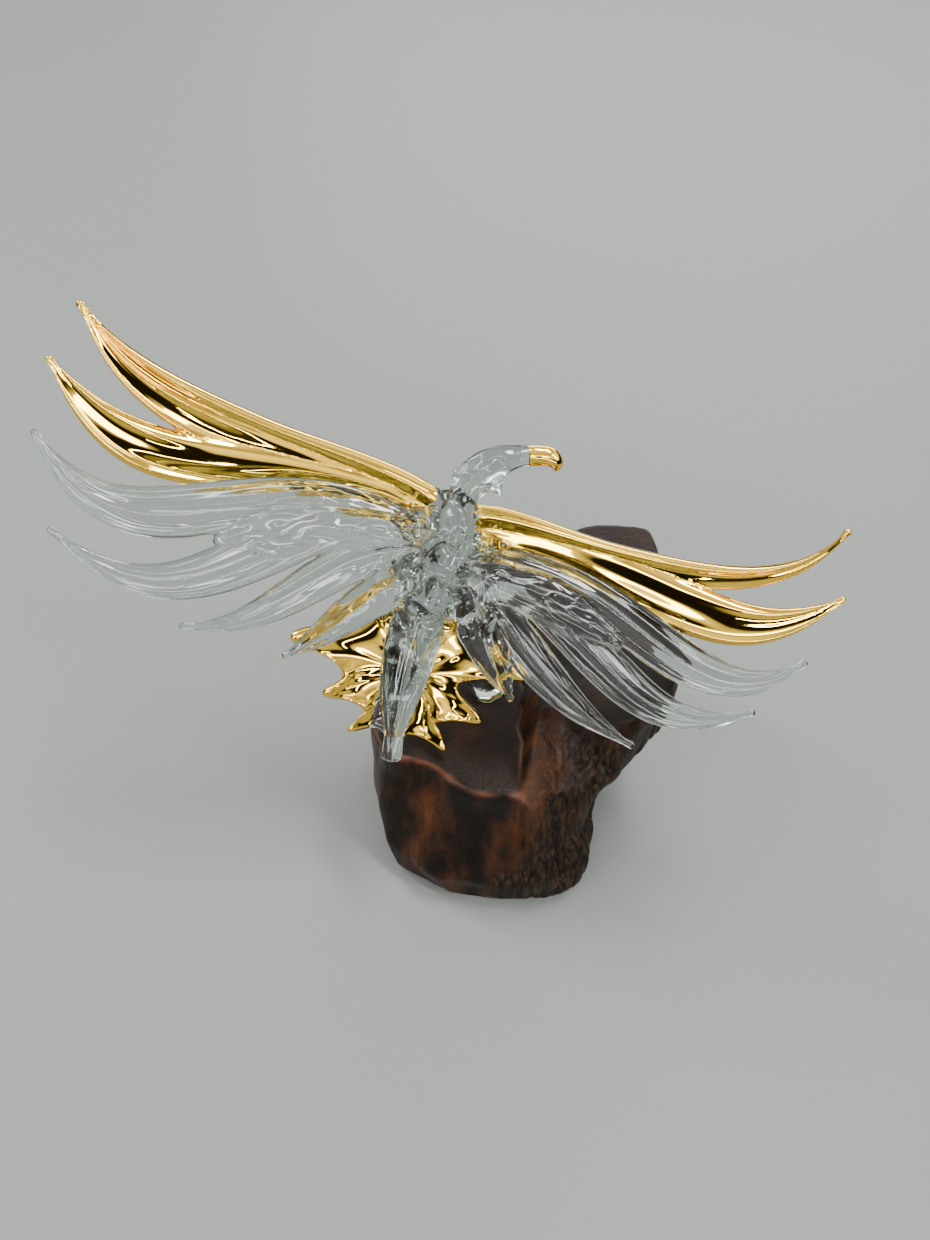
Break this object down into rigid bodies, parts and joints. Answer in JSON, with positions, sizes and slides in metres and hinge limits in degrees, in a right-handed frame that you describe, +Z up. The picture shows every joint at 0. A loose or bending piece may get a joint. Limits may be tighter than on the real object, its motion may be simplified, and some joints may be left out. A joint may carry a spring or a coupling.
{
  "type": "blown glass eagle figurine",
  "caption": "Clear and gilded glass eagle with spread wings landing on a stepped block of varnished driftwood.",
  "frame": {"origin": "middle of the wooden base's flat underside", "axes": "+Z up, +X to the right as the bird's back is seen, +Y away from that side, the way the bird's breast faces"},
  "size_m": [0.251, 0.1284, 0.1988],
  "materials": {
    "glass": "clear flame-worked glass with bright fired gold on the outer wings, tail fan and beak",
    "wood": "dark varnished driftwood"
  },
  "bodies": {
    "root": {"glass_eagle": "glass", "wood_base": "wood"}
  },
  "joints": []
}
